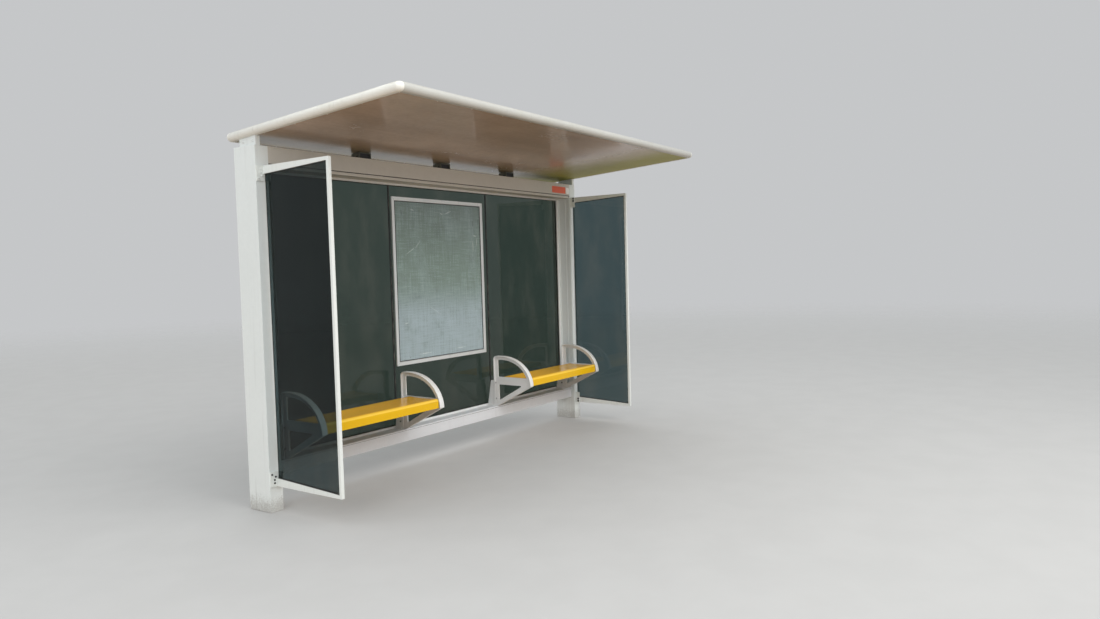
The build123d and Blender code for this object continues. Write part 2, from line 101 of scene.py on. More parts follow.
class ShelterFinishes(bpy.types.PropertyGroup):
    """Colours of the shelter's paint, glass and seals, and how worn they are."""

    post: colour_setting("Posts", "Powder coat of the posts", (0.775, 0.82, 0.815))
    # The header's colour is painted shade: white paint darkened and warmed, as it looks under the roof.
    header: colour_setting("Header", "Powder coat of the header", (0.60, 0.575, 0.52))
    rail: colour_setting("Glazing rails", "Powder coat of the rails that hold the glass", (0.80, 0.81, 0.80))
    panel: colour_setting("Panel frames", "Powder coat of the side panels' frames", (0.79, 0.83, 0.81))
    casting: colour_setting("Bench castings", "Powder coat of the bench arms and feet", (0.80, 0.80, 0.79))
    beam: colour_setting("Lower beam", "Powder coat of the lower beam", (0.74, 0.755, 0.78))
    seat: colour_setting("Seats", "Yellow coat of the bench seats", (0.82, 0.485, 0.008))
    # The seats' top colour is partly wear and partly painted light, brighter than the coat.
    seat_worn_and_painted_light: colour_setting("Seats, worn", "Top of the seats, where people sit", (1.0, 0.53, 0.045))
    # A painted highlight on the seats' rounded front edge.
    seat_roll_highlight: colour_setting("Seats, front roll", "Brighter yellow of the rounded front edge", (1.0, 0.66, 0.09))
    support: colour_setting("Roof supports", "Dark coat of the roof's supports", (0.15, 0.15, 0.11))
    roof_edge: colour_setting("Roof edge", "Cream of the roof's edge profiles", (0.84, 0.84, 0.79))
    # The roof sheet's colour is painted shade with a painted reflection of brown ground; the top colour is the sheet's
    # own weathered face.
    roof: colour_setting("Roof sheet", "Gloss sheet of the roof", (0.54, 0.40, 0.30))
    roof_top: colour_setting("Roof sheet, top", "Weathered upper face of the roof", (0.66, 0.65, 0.60))
    # On the roof sheet this green is a painted reflection of grass at the back and right end; the edge profiles use it
    # for their green film.
    roof_green_film_and_reflection: colour_setting("Roof sheet, green", "Green film at the back and right end", (0.20, 0.21, 0.045))
    poster: colour_setting("Poster backing", "Upper part of the bare backing", (0.235, 0.300, 0.250))
    # The bluer lower part of the backing is a painted reflection on the cover.
    poster_low_reflection: colour_setting("Poster backing, low", "Bluer lower part of the backing", (0.42, 0.475, 0.51))
    anodised: colour_setting("Poster frame", "Anodised aluminium of the poster case", (0.80, 0.81, 0.80))
    back_glass: colour_setting("Back glass", "Light through the back panes", (0.052, 0.076, 0.062))
    panel_glass: colour_setting("Panel glass", "Light through the side panes", (0.086, 0.126, 0.132))
    seal: colour_setting("Seals", "Rubber of the seals", (0.018, 0.020, 0.020))
    fixing: colour_setting("Dark fixings", "Blackened screws and bolts", (0.055, 0.055, 0.06))
    steel: colour_setting("Steel fixings", "Stainless bolts of the benches", (0.45, 0.46, 0.47))
    orange: colour_setting("Orange plate", "Bare plate on the header", (0.86, 0.115, 0.022))
    plate: colour_setting("White plate", "Bare plate beside the orange one", (0.93, 0.93, 0.92))
    dust: colour_setting("Dust", "Dry dust on faces that look up", (0.42, 0.38, 0.31))
    soil: colour_setting("Soil", "Soil splashed up from the ground", (0.14, 0.10, 0.065))
    grime: colour_setting("Grime", "Rain streaks and old dirt", (0.20, 0.19, 0.16))
    wear: number_setting("Wear", "How rubbed the edges are", 0.35, subtype="FACTOR")
    dusty: number_setting("Dustiness", "How much dust lies on top", 0.45, subtype="FACTOR")


class ShelterDetails(bpy.types.PropertyGroup):
    """Sizes of the seals, screws, bolts and plates."""

    edge: length_setting("Edge rounding", "Rounding of the metal's edges", 0.0012)
    screw: length_setting("Screw head", "Width of the bracket screws' heads", 0.0125)
    bolt: length_setting("Bolt head", "Width across the flats of the lug bolts", 0.013)
    bench_bolt: length_setting("Bench bolt head", "Width across the flats of the bench bolts", 0.010)
    rivet: length_setting("Rivet head", "Width of the rivets' heads", 0.0066)
    seal_width: length_setting("Seal width", "How far a glazing seal shows on the glass", 0.005)
    seal_depth: length_setting("Seal depth", "How far a glazing seal stands off the glass", 0.0042)
    rib: length_setting("Post rib", "Width of the ribs in the posts' recesses", 0.003)
    rivet_pitch: length_setting("Rivet spacing", "Distance between the rivets of the roof's edge", 0.29)
    plate: length_setting("Plate thickness", "Thickness of the bare plates", 0.0015)


class ShelterStage(bpy.types.PropertyGroup):
    """Floor, light and camera."""

    floor: colour_setting("Floor", "Pale floor as the camera sees it", (0.50, 0.495, 0.485))
    floor_bounce: colour_setting("Floor bounce", "Floor as it lights the shelter", (0.41, 0.33, 0.26))
    backdrop: colour_setting("Backdrop", "Pale background", (0.56, 0.57, 0.58))
    sky: number_setting("Sky light", "Strength of the light from all round", 0.78, 5)
    street: number_setting("Street light", "Extra light from the open street side", 0.36, 5)
    key: number_setting("Key light", "Power of the soft light at the front", 215, 5000, unit="POWER")
    side: number_setting("Side light", "Power of the soft light at the side", 150, 5000, unit="POWER")
    lens: number_setting("Lens", "Focal length of the camera in millimetres", 26.231, 200)


# Nodes


class Value:
    """A number, colour or vector that changes over the surface; sums on it add nodes."""

    def __init__(self, nodes, socket):
        self.nodes, self.socket = nodes, socket

    def sum(self, operation, first, second):
        """One sum of two numbers."""
        return self.nodes.value("ShaderNodeMath", {0: first, 1: second}, operation=operation)

    def __add__(self, other):
        return self.sum("ADD", self, other)

    def __sub__(self, other):
        return self.sum("SUBTRACT", self, other)

    def __rsub__(self, other):
        return self.sum("SUBTRACT", other, self)

    def __mul__(self, other):
        return self.sum("MULTIPLY", self, other)

    def __abs__(self):
        return self.sum("ABSOLUTE", self, 0)

    def most(self, other):
        """The larger of two values."""
        return self.sum("MAXIMUM", self, other)

    def clamped(self):
        """The last sum, kept between 0 and 1."""
        self.socket.node.use_clamp = True
        return self

    def vector(self, operation, other=(0, 0, 0), out=0):
        """A sum on a vector."""
        return self.nodes.value("ShaderNodeVectorMath", {0: self, 1: other}, out, operation=operation)

    def part(self, axis):
        """One of the three numbers of a vector."""
        return self.nodes.value("ShaderNodeSeparateXYZ", {0: self}, axis)

    def ramp(self, low, high, start=0.0, end=1.0):
        """A smooth step between two values."""
        inputs = {"Value": self, "From Min": low, "From Max": high, "To Min": start, "To Max": end}
        return self.nodes.value("ShaderNodeMapRange", inputs, interpolation_type="SMOOTHSTEP")

    def tint(self, under, over):
        """One colour laid over another, with this value as the share."""
        return self.nodes.value("ShaderNodeMix", {0: self, 6: under, 7: over}, 2, data_type="RGBA")


class Nodes:
    """A node tree, with short ways to add to it."""

    def __init__(self, tree):
        self.tree = tree

    def add(self, kind, inputs=None, **choices):
        """Add a node and fill or link its inputs; underscores in their names stand for spaces."""
        node = self.tree.nodes.new(kind)
        for key, value in choices.items():
            setattr(node, key, value)
        for key, value in (inputs or {}).items():
            socket = node.inputs[key.replace("_", " ") if isinstance(key, str) else key]
            if isinstance(value, Value):
                self.tree.links.new(value.socket, socket)
            elif socket.type == "RGBA":
                socket.default_value = (*value[:3], 1)
            else:
                socket.default_value = value
        return node

    def value(self, kind, inputs=None, out=0, **choices):
        """Add a node and take one of its outputs."""
        return Value(self, self.add(kind, inputs, **choices).outputs[out])

    def use(self, effect, **inputs):
        """Place a shared effect and take all its outputs."""
        node = self.add("ShaderNodeGroup", inputs, node_tree=effect())
        return {socket.name: Value(self, socket) for socket in node.outputs}

    def place(self, stretch=None):
        """Points of the surface in the shelter's own metres, stretched for grain with a direction."""
        spot = self.value("ShaderNodeTexCoord", out="Object")
        return self.value("ShaderNodeMapping", {"Vector": spot, "Scale": stretch}) if stretch else spot

    def cloud(self, size, detail=3, roughness=0.55, stretch=None):
        """Soft irregular patches, with size in patches a metre."""
        inputs = {"Vector": self.place(stretch), "Scale": size, "Detail": detail, "Roughness": roughness}
        return self.value("ShaderNodeTexNoise", inputs)

    def facing(self):
        """How far the surface looks up, from -1 to 1."""
        return self.value("ShaderNodeNewGeometry", out="Normal").part("Z")

    def bump(self, height, strength, distance):
        """A surface normal roughened by a height."""
        return self.value("ShaderNodeBump", {"Height": height, "Strength": strength, "Distance": distance})

    def light_path(self, ray):
        """Whether the light came here by this kind of ray."""
        return self.value("ShaderNodeLightPath", out=f"Is {ray} Ray")

    def seen(self):
        """Whether the camera sees this spot, by itself or in gloss or glass."""
        return self.light_path("Camera").most(self.light_path("Glossy")).most(self.light_path("Transmission"))


def darker(colour, share):
    """The same colour with less light in it."""
    return tuple(value * share for value in colour)


# Shared effects


def effect(name, **inputs):
    """Turn a recipe into a node group that is built once: numbers, vectors of 3 or colours of 4."""

    def wrap(recipe):
        def group():
            made = bpy.data.node_groups.get(name)
            if made:
                return made
            made = bpy.data.node_groups.new(name, "ShaderNodeTree")
            for label, value in inputs.items():
                kind = "Float" if isinstance(value, float) else "Color" if len(value) == 4 else "Vector"
                socket = made.interface.new_socket(
                    name=label.replace("_", " "), in_out="INPUT", socket_type="NodeSocket" + kind
                )
                socket.default_value = value
            nodes = Nodes(made)
            given = nodes.add("NodeGroupInput").outputs
            results = recipe(nodes, *(Value(nodes, given[index]) for index in range(len(inputs))))
            for label, result in results.items():
                kind = "Color" if result.socket.type == "RGBA" else "Float"
                made.interface.new_socket(name=label, in_out="OUTPUT", socket_type="NodeSocket" + kind)
            nodes.add("NodeGroupOutput", results)
            return made

        return group

    return wrap


@effect("Powder coat", Colour=PALE, Shade=SHADED, Patches=0.3, Peel=420.0, Roughness=0.42)
def powder_coat(nodes, colour, shade, patchy, peel, roughness):
    """Sprayed and baked paint: faint patches, orange peel and uneven sheen."""
    patches = nodes.cloud(2.3, 4) * 0.65 + nodes.cloud(34) * 0.35
    return {
        "Colour": (patches.ramp(0.36, 0.66) * patchy).tint(colour, shade),
        "Roughness": (roughness + (patches - 0.5) * 0.34).clamped(),
        "Height": nodes.cloud(peel, 2),
    }


@effect(
    "Weather", Colour=PALE, Roughness=0.4, Dust=0.4, Dust_Colour=(0.4, 0.36, 0.3, 1), Streaks=0.3,
    Grime=(0.2, 0.19, 0.16, 1), Splash=0.6, Splash_Height=0.3, Soil=(0.14, 0.1, 0.06, 1),
)
def weather(nodes, colour, roughness, dusty, dust_colour, streaky, grime, splashed, splash_height, soil):
    """Dust on faces that look up, rain streaks on upright ones, soil splashed from the ground."""
    facing = nodes.facing()
    run = nodes.cloud(1.0, 2, stretch=(9, 9, 0.7)).ramp(0.42, 0.66)
    lines = nodes.cloud(1.0, 3, 0.6, stretch=(46, 46, 1.1)).ramp(0.5, 0.78) * run
    streaks = lines * (1 - abs(facing)).clamped() * streaky
    dust = facing.ramp(0.35, 0.95) * nodes.cloud(9, 5, 0.7).ramp(0.22, 0.7) * dusty
    low = nodes.place().part("Z").ramp(splash_height, 0.0)
    reach = low * 0.50 + nodes.cloud(7, 3) * 0.25
    wet = (reach + nodes.cloud(95, 4, 0.75) * 0.60).ramp(0.66, 0.98)
    splash = wet * low.ramp(0.0, 0.2) * splashed
    dirt = dust.most(splash).most(streaks * 0.5)
    return {
        "Colour": splash.tint(dust.tint(streaks.tint(colour, grime), dust_colour), soil),
        "Roughness": (roughness + (0.85 - roughness) * dirt).clamped(),
    }


@effect("Worn edges", Width=0.002, Wear=0.35)
def worn_edges(nodes, width, wear):
    """Where an edge is rubbed."""
    rounded = nodes.value("ShaderNodeBevel", {"Radius": width}, samples=4)
    plain = nodes.value("ShaderNodeNewGeometry", out="Normal")
    turned = (1 - rounded.vector("DOT_PRODUCT", plain, "Value")).clamped()
    breaks = nodes.cloud(26, 5, 0.7).ramp(0.50, 0.66) * nodes.cloud(130, 2).ramp(0.45, 0.62)
    return {"Rubbed": turned.ramp(0.02, 0.12) * breaks * wear}


@effect("Scuff", Centre=(0, 0, 0), Half_Size=(0.03, 1, 0.005), Turn=0.0, Break=0.8)
def scuff(nodes, centre, half_size, turn, broken):
    """One rubbed mark: an oval about a centre, broken up along its length."""
    off = nodes.place().vector("SUBTRACT", centre)
    turned = nodes.value("ShaderNodeVectorRotate", {"Vector": off, "Angle": turn}, rotation_type="Y_AXIS")
    far = turned.vector("DIVIDE", half_size).vector("MULTIPLY", (1, 0, 1)).vector("LENGTH", out="Value")
    return {"Mark": (far + nodes.cloud(60, 3) * broken).ramp(1.3, 0.75)}


@effect("Brushed metal", Colour=PALE, Shade=SHADED, Roughness=0.35)
def brushed(nodes, colour, shade, roughness):
    """Fine lines of drawn or brushed metal."""
    long_lines, high_lines = (nodes.cloud(1.0, 2, stretch=way) for way in ((3, 900, 900), (900, 900, 3)))
    lines = long_lines * 0.5 + high_lines * 0.5
    return {
        "Colour": (nodes.cloud(5, 4).ramp(0.4, 0.75) * 0.35).tint(colour, shade),
        "Roughness": (roughness + (lines - 0.5) * 0.3).clamped(),
        "Height": lines,
    }


# Finishes


def finish(recipe):
    """Turn a recipe for the shader's sockets into a material that is made once for each name."""

    def make(name, *values, **more):
        material = bpy.data.materials.get(name)
        if material:
            return material
        material = bpy.data.materials.new(name)
        material.use_nodes = True
        material.node_tree.nodes.clear()
        nodes = Nodes(material.node_tree)
        filled = recipe(nodes, bpy.context.scene.shelter_finishes, *values, **more)
        clear = filled.pop("clear", None)
        surface = nodes.value("ShaderNodeBsdfPrincipled", filled)
        if clear:
            pane = nodes.value("ShaderNodeBsdfTransparent", {"Color": clear[1]})
            surface = nodes.value("ShaderNodeMixShader", {0: clear[0], 1: surface, 2: pane})
        nodes.add("ShaderNodeOutputMaterial", {0: surface})
        return material

    return make


def weathered(nodes, paint, colour, roughness, **more):
    """The shader's colour and roughness, once the weather has been at a coat."""
    values = {"Dust_Colour": paint.dust, "Grime": paint.grime, "Soil": paint.soil, **more}
    aged = nodes.use(weather, Colour=colour, Roughness=roughness, **values)
    return {"Base_Color": aged["Colour"], "Roughness": aged["Roughness"]}


def rubbed_edges(nodes, width, wear):
    """Where a coat's edges are rubbed."""
    return nodes.use(worn_edges, Width=width, Wear=wear)["Rubbed"]


def coated(nodes, colour, shade, patches, peel, roughness):
    """A powder coat with its patches in a darker shade of the same colour."""
    return nodes.use(
        powder_coat, Colour=colour, Shade=darker(colour, shade), Patches=patches, Peel=peel, Roughness=roughness
    )


@finish
def painted(
    nodes, paint, colour, roughness=0.42, patches=0.3, peel=420.0, dust=None, streaks=0.25, splash=0.0,
    splash_height=0.3, wear=None, under=(0.50, 0.50, 0.49), film=None, bump=0.09,
):
    """Powder-coated metal with weather and rubbed edges; film adds one more colour over it."""
    coat = coated(nodes, colour, 0.84, patches, peel, roughness)
    tone = film(nodes, paint, coat["Colour"]) if film else coat["Colour"]
    rubbed = rubbed_edges(nodes, 0.0022, paint.wear if wear is None else wear)
    aged = weathered(
        nodes, paint, rubbed.tint(tone, under), coat["Roughness"], Dust=paint.dusty if dust is None else dust,
        Streaks=streaks, Splash=splash, Splash_Height=splash_height,
    )
    return dict(aged, IOR=1.48, Normal=nodes.bump(coat["Height"] - rubbed * 1.5, bump, 0.002))


@finish
def glazed(nodes, paint, colour, film=0.10):
    """Tinted safety glass with a dusty film, smears and splashes; light also passes to what is behind."""
    smear = nodes.cloud(1.6, 4, 0.6, stretch=(3, 3, 1.2))
    spots = nodes.cloud(55, 4, 0.7).ramp(0.62, 0.72) * (film * 0.7)
    tone = (smear.ramp(0.42, 0.75) * film + spots).tint(colour, darker(paint.dust, 0.9))
    low = nodes.place().part("Z").ramp(0.62, 0.2)
    speckle = nodes.cloud(80, 4, 0.75).ramp(0.52, 0.66)
    return dict(
        Base_Color=(low * speckle * 0.5).tint(tone, paint.soil), Roughness=smear.ramp(0.40, 0.8) * 0.05 + 0.012,
        IOR=1.30, Metallic=0.0, Transmission_Weight=1.0,
        clear=(nodes.light_path("Shadow"), tuple(value ** 0.6 for value in colour)),
    )


@finish
def rubber(nodes, paint):
    """Black rubber, greyed by dust."""
    bloom = nodes.cloud(18, 4, 0.65).ramp(0.42, 0.75)
    return dict(
        Base_Color=(bloom * 0.20).tint(paint.seal, paint.dust), Roughness=bloom * 0.25 + 0.55,
        Normal=nodes.bump(nodes.cloud(700, 2), 0.12, 0.001),
    )


@finish
def fixing_metal(nodes, paint, colour, roughness=0.42, metallic=0.85):
    """Machined screw and bolt heads with dirt in their corners."""
    dirt = nodes.cloud(160, 3).ramp(0.45, 0.7)
    return dict(
        Base_Color=(dirt * 0.45).tint(colour, paint.grime), Roughness=dirt * 0.3 + roughness, Metallic=metallic,
        Normal=nodes.bump(nodes.cloud(900, 2), 0.15, 0.0006),
    )


@finish
def anodised_metal(nodes, paint):
    """Satin anodised aluminium of the poster case."""
    lines = nodes.use(brushed, Colour=paint.anodised, Shade=darker(paint.anodised, 0.8), Roughness=0.36)
    tone = rubbed_edges(nodes, 0.0018, paint.wear).tint(lines["Colour"], (0.9, 0.9, 0.9))
    aged = weathered(nodes, paint, tone, lines["Roughness"], Dust=paint.dusty, Streaks=0.15, Splash=0.0)
    return dict(aged, Metallic=0.55, Normal=nodes.bump(lines["Height"], 0.05, 0.0008))


@finish
def roof_sheet(nodes, paint):
    """Gloss sheet: mottled, streaked along its length; painted shade below, painted green reflections at the back and
    right end.
    """
    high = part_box("roof_panel")[1]
    where = nodes.place()
    coat = coated(nodes, paint.roof, 0.72, 0.8, 90.0, 0.22)
    # Faces that look down keep the darker roof colour, which is painted shade; faces that look up take the top colour.
    upward = nodes.facing().ramp(0.2, 0.6)
    along = nodes.cloud(1.0, 4, 0.6, stretch=(0.7, 9, 9)).ramp(0.45, 0.75) * 0.30
    tone = along.tint(upward.tint(coat["Colour"], paint.roof_top), darker(paint.roof, 1.25))
    drift = nodes.cloud(1.9, 4, 0.6) * 0.30
    back = (where.part("Y") + drift).ramp(high.y - 0.34, high.y + 0.10)
    right = (where.part("X") + drift).ramp(high.x - 0.85, high.x - 0.10) * (1 - upward * 0.75)
    # Painted green reflection of grass at the back and, stronger, at the right end.
    tone = (back * 0.5).tint(tone, paint.roof_green_film_and_reflection)
    tone = (right * 0.88).tint(tone, darker(paint.roof_green_film_and_reflection, 1.75))
    aged = weathered(nodes, paint, tone, coat["Roughness"], Dust=0.55, Streaks=0.0, Splash=0.0)
    ripple = nodes.cloud(3.2, 2) + coat["Height"] * 0.02
    return dict(
        Base_Color=aged["Base_Color"], Roughness=aged["Roughness"] + right * 0.30, IOR=1.38,
        Coat_Weight=(1 - right) * 0.30, Coat_Roughness=0.12, Normal=nodes.bump(ripple, 0.12, 0.02),
    )


@finish
def poster_sheet(nodes, paint, low, high):
    """Bare backing sheet: two tones, the lower, bluer one a painted reflection; glue patches, rubbed marks and
    scratches.
    """
    size = high - low

    def scuffed(marks):
        mask = None
        for along, up, half_wide, half_high, turn, broken in marks:
            centre = (low.x + along * size.x, low.y, low.z + up * size.z)
            half_size = (half_wide, 1, half_high)
            mark = nodes.use(scuff, Centre=centre, Half_Size=half_size, Turn=turn, Break=broken)["Mark"]
            mask = mask.most(mark) if mask else mark
        return mask

    height = nodes.place().part("Z") + nodes.cloud(1.6, 3) * 0.16
    # The lower, bluer tone is a painted reflection.
    tone = height.ramp(low.z + 0.30 * size.z, low.z + 0.58 * size.z).tint(paint.poster_low_reflection, paint.poster)
    glue = nodes.cloud(3.1, 5, 0.62, stretch=(1.0, 1, 0.6)).ramp(0.48, 0.72)
    fade = nodes.cloud(7.5, 4, 0.6).ramp(0.52, 0.8)
    rows = nodes.cloud(1.0, 4, 0.65, stretch=(5, 1, 120))
    brush = (rows + nodes.cloud(1.0, 4, 0.65, stretch=(90, 1, 4))) * 0.5
    rubbed = scuffed(RUBBED_MARKS)
    for share, over in (
        (glue * 0.35, darker(paint.poster_low_reflection, 1.25)), (fade * 0.45, darker(paint.poster, 0.62)),
        (brush.ramp(0.50, 0.62) * 0.34, darker(paint.poster_low_reflection, 1.3)),
        (brush.ramp(0.50, 0.38) * 0.34, darker(paint.poster, 0.6)),
        (rubbed * 0.75, (0.72, 0.74, 0.72)), (scuffed(DARK_MARKS) * 0.7, (0.05, 0.06, 0.06)),
    ):
        tone = share.tint(tone, over)
    lift = nodes.cloud(380, 2) * 0.2 + (rubbed + glue)
    return dict(Base_Color=tone, Roughness=glue * 0.22 + 0.48, Normal=nodes.bump(lift, 0.2, 0.0006))


@finish
def clear_cover(nodes, paint):
    """Clear sheet in front of the poster, with fine scratches and smears."""
    hair = nodes.cloud(1.0, 2, stretch=(260, 260, 14)).ramp(0.70, 0.78)
    cross = nodes.cloud(1.0, 2, stretch=(12, 12, 300)).ramp(0.72, 0.80)
    smear = nodes.cloud(2.2, 4, 0.6, stretch=(1.4, 1.4, 0.8)).ramp(0.45, 0.8)
    haze = smear * 0.10 + hair.most(cross) * 0.25
    return dict(
        Base_Color=haze.tint((0.95, 0.97, 0.96), (0.80, 0.82, 0.80)), Roughness=haze * 0.5 + 0.02, IOR=1.4,
        Metallic=0.0, Transmission_Weight=1.0, clear=(nodes.light_path("Shadow"), (0.86, 0.90, 0.88)),
    )


@finish
def seat_coat(nodes, paint):
    """Yellow coat: dulled and scratched where people sit, its top lightened by painted light, with a painted highlight
    on the front roll.
    """
    facing = nodes.facing()
    coat = coated(nodes, paint.seat, 0.93, 0.25, 380.0, 0.13)
    top = facing.ramp(0.75, 0.99)
    rub = nodes.cloud(1.0, 4, 0.6, stretch=(2.2, 5, 5)).ramp(0.28, 0.62)
    # Faces that look up take the top colour: wear, with painted light.
    tone = (top * (rub * 0.20 + 0.80)).tint(coat["Colour"], paint.seat_worn_and_painted_light)
    # Painted highlight on the front roll.
    tone = (facing.ramp(0.08, 0.40) * (1 - top) * 0.7).tint(tone, paint.seat_roll_highlight)
    hair = nodes.cloud(1.0, 2, stretch=(6, 300, 300)).ramp(0.66, 0.74)
    tone = (hair * top * 0.35).tint(tone, darker(paint.seat_worn_and_painted_light, 0.7))
    tone = rubbed_edges(nodes, 0.003, paint.wear * 0.6).tint(tone, (0.55, 0.40, 0.12))
    dirt = dict(Dust=0.03, Streaks=0.10, Splash=0.0, Grime=darker(paint.seat_worn_and_painted_light, 0.5))
    aged = weathered(nodes, paint, tone, coat["Roughness"], **dirt)
    return dict(
        Base_Color=aged["Base_Color"], Roughness=(aged["Roughness"] + top * 0.04).clamped(), IOR=1.30,
        Normal=nodes.bump(coat["Height"] - hair, 0.08, 0.0016),
    )


@finish
def pale_floor(nodes, paint, stage):
    """Matt floor that keeps the shelter's shadow and fades out into the backdrop."""
    pale = nodes.cloud(3.0, 4).ramp(0.3, 0.7).tint(stage.floor, darker(stage.floor, 0.97))
    away = nodes.place().vector("SUBTRACT", FLOOR_MIDDLE).vector("LENGTH", out="Value")
    return dict(
        Base_Color=nodes.seen().tint(stage.floor_bounce, pale), Roughness=0.9, Specular_IOR_Level=0.1,
        clear=(away.ramp(7.0, 26.0), (1, 1, 1)),
    )


def olive_film(nodes, paint, tone):
    """Old green film that grows where the rain stays longest."""
    low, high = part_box("roof_panel")
    patches = nodes.cloud(5, 5, 0.65).ramp(0.48, 0.72)
    share = patches * nodes.place().part("Y").ramp(low.y, high.y, 0.05, 0.28)
    return share.tint(tone, darker(paint.roof_green_film_and_reflection, 1.6))


# Meshes


def dress(material, width, *names, angle=SHARP_ANGLE):
    """Give nodes of the frame their finish, and round their edges a little."""
    for name in names:
        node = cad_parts[name]
        node.data.materials.clear()
        node.data.materials.append(material)
        if width:
            node.modifiers.new("Join faces", "WELD").merge_threshold = SAME_POINT
            edge = node.modifiers.new("Rounded edges", "BEVEL")
            edge.width = width
            edge.segments = 2
            edge.limit_method = "ANGLE"
            edge.angle_limit = math.radians(angle)


def new_piece(name, mesh, material):
    """Turn a bmesh into a piece that rides on the shelter."""
    bmesh.ops.remove_doubles(mesh, verts=mesh.verts, dist=SAME_POINT / 2)
    bmesh.ops.recalc_face_normals(mesh, faces=mesh.faces)
    data = bpy.data.meshes.new(name)
    mesh.to_mesh(data)
    mesh.free()
    data.materials.append(material)
    data.shade_smooth()
    data.set_sharp_from_angle(angle=math.radians(SHARP_ANGLE))
    piece = bpy.data.objects.new(name, data)
    bpy.context.scene.collection.objects.link(piece)
    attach(piece, "root")


def new_seal(name, mesh):
    """A rubber piece."""
    new_piece(name, mesh, rubber("Seal rubber"))


def new_fixings(name, mesh):
    """A piece of blackened screws or bolts."""
    dark = fixing_metal("Dark fixings", bpy.context.scene.shelter_finishes.fixing)
    new_piece(name, mesh, dark)


def new_painted_bolts(name, mesh):
    """A piece of screws or bolts painted over with the posts."""
    coat = painted("Painted bolts", bpy.context.scene.shelter_finishes.post, streaks=0.0, dust=0.2)
    new_piece(name, mesh, coat)


def lathe(mesh, rings, point, outward, sides=24, spin=0.0):
    """Turn rings of (radius, height, corners) about an axis; corners is 6 for a hexagon."""
    turn = Vector(outward).normalized().to_track_quat("Z", "Y")
    where = Matrix.Translation(point) @ turn.to_matrix().to_4x4()
    loops = []
    for radius, height, corners in rings:
        if radius == 0:
            loops.append([mesh.verts.new(where @ Vector((0, 0, height)))])
            continue
        loop = []
        for index in range(sides):
            angle = 2 * math.pi * index / sides
            reach = radius
            if corners:
                share = math.pi / corners
                reach = radius / math.cos((angle % (2 * share)) - share)
            spot = Vector((reach * math.cos(angle + spin), reach * math.sin(angle + spin), height))
            loop.append(mesh.verts.new(where @ spot))
        loops.append(loop)
    for first, second in zip(loops, loops[1:]):
        for index in range(sides):
            after = (index + 1) % sides
            if len(second) == 1:
                mesh.faces.new((first[index], first[after], second[0]))
            else:
                mesh.faces.new((first[index], first[after], second[after], second[index]))
    mesh.faces.new(loops[0][::-1])


def socket_screw(mesh, point, outward, width):
    """A button head with a hexagon socket."""
    r = width / 2
    rings = [
        (r, 0, 0), (r, 0.10 * width, 0), (0.93 * r, 0.20 * width, 0), (0.72 * r, 0.29 * width, 0),
        (0.50 * r, 0.33 * width, 0), (0.40 * r, 0.33 * width, 6), (0.38 * r, 0.14 * width, 6), (0, 0.12 * width, 0),
    ]
    lathe(mesh, rings, point, outward)


def hex_bolt(mesh, point, outward, width, turn=0.2):
    """A washer with a chamfered hexagon head on it."""
    r = width / 2
    thick = 0.13 * width
    rings = [
        (1.42 * r, 0, 0), (1.42 * r, 0.7 * thick, 0), (1.36 * r, thick, 0), (1.02 * r, thick, 6),
        (r, thick + 0.02 * width, 6), (r, thick + 0.42 * width, 6), (0.93 * r, thick + 0.50 * width, 0),
        (0.80 * r, thick + 0.53 * width, 0), (0, thick + 0.52 * width, 0),
    ]
    lathe(mesh, rings, point, outward, spin=turn)


def dome_rivet(mesh, point, outward, width):
    """A low domed rivet with its broken stem in the middle."""
    r = width / 2
    rings = [
        (r, 0, 0), (0.97 * r, 0.08 * width, 0), (0.82 * r, 0.17 * width, 0), (0.55 * r, 0.235 * width, 0),
        (0.30 * r, 0.25 * width, 0), (0.27 * r, 0.18 * width, 0), (0, 0.17 * width, 0),
    ]
    lathe(mesh, rings, point, outward, sides=16)


def sweep(mesh, path, section, across, closed=False):
    """Run a section along a path in one plane, with mitred corners; across looks out of that plane."""
    count = len(path)
    rings = []
    for index, point in enumerate(path):
        ways = []
        if closed or index > 0:
            ways.append((point - path[index - 1]).normalized())
        if closed or index < count - 1:
            ways.append((path[(index + 1) % count] - point).normalized())
        sides = [across.cross(way) for way in ways]
        side = sum(sides, Vector()).normalized()
        side = side / side.dot(sides[0])
        rings.append([mesh.verts.new(point + side * a + across * b) for a, b in section])
    for index in range(count if closed else count - 1):
        first, second = rings[index], rings[(index + 1) % count]
        for step in range(len(section)):
            after = (step + 1) % len(section)
            mesh.faces.new((first[step], first[after], second[after], second[step]))
    if not closed:
        mesh.faces.new(rings[0])
        mesh.faces.new(rings[-1][::-1])


def swept(path, section, across, closed=False):
    """A mesh with one sweep in it."""
    mesh = bmesh.new()
    sweep(mesh, path, section, across, closed)
    return mesh


def half_round(width, proud, start=0.0):
    """Section of a seal: flat on its seat, rounded outward."""
    shape = ((0, 0), (0, 0.50), (0.12, 0.84), (0.34, 1), (0.66, 1), (0.88, 0.84), (1, 0.50), (1, 0))
    return [(start + a * width, b * proud) for a, b in shape]


def centred(width, proud):
    """The same section, with the path along its middle."""
    return half_round(width, proud, -width / 2)


